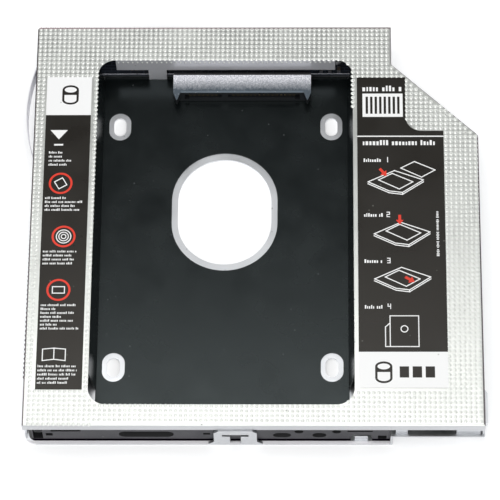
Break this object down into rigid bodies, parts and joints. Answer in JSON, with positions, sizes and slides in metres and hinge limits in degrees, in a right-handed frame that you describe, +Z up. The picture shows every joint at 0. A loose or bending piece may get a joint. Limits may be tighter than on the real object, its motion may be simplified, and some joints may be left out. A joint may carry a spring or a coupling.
{
  "type": "laptop drive caddy",
  "caption": "Slim metal caddy that holds one small disk drive in a notebook's optical bay, with a windowed embossed cover, slotted floor and two joined connectors.",
  "frame": {"origin": "centre of the bounding box in plan, on the flat underside the caddy rests on", "axes": "+Z up through the cover, -Y towards the front lip where the bezel clips on, +X towards the raised shelf"},
  "size_m": [0.1316, 0.1264, 0.0128],
  "materials": {
    "pan_metal": "plain rolled sheet, satin",
    "cover_metal": "sheet embossed with a grid of small dots",
    "black_film": "matt black insulating film",
    "frame_plastic": "dark grey moulded plastic",
    "board": "black circuit board",
    "connector_plastic": "satin dark grey moulded plastic",
    "contact_metal": "plated contacts",
    "screw_steel": "plated steel",
    "capacitor_ceramic": "tan ceramic",
    "spring_steel": "bright thin spring sheet",
    "label_black": "printed black sticker",
    "label_white": "white print",
    "label_red": "red print"
  },
  "bodies": {
    "root": {"base_pan": "pan_metal", "top_cover": "cover_metal", "insulating_film": "black_film", "front_frame": "frame_plastic", "adapter_board": "board", "drive_connector": "connector_plastic", "drive_signal_contacts": "contact_metal", "drive_power_contacts": "contact_metal", "bay_connector": "connector_plastic", "bay_signal_contacts": "contact_metal", "bay_power_contacts": "contact_metal", "board_screws": "screw_steel", "board_capacitors": "capacitor_ceramic", "side_spring": "spring_steel", "left_label": "label_black", "left_label_white": "label_white", "left_label_red": "label_red", "right_label": "label_black", "right_label_white": "label_white", "right_label_red": "label_red"}
  },
  "joints": []
}
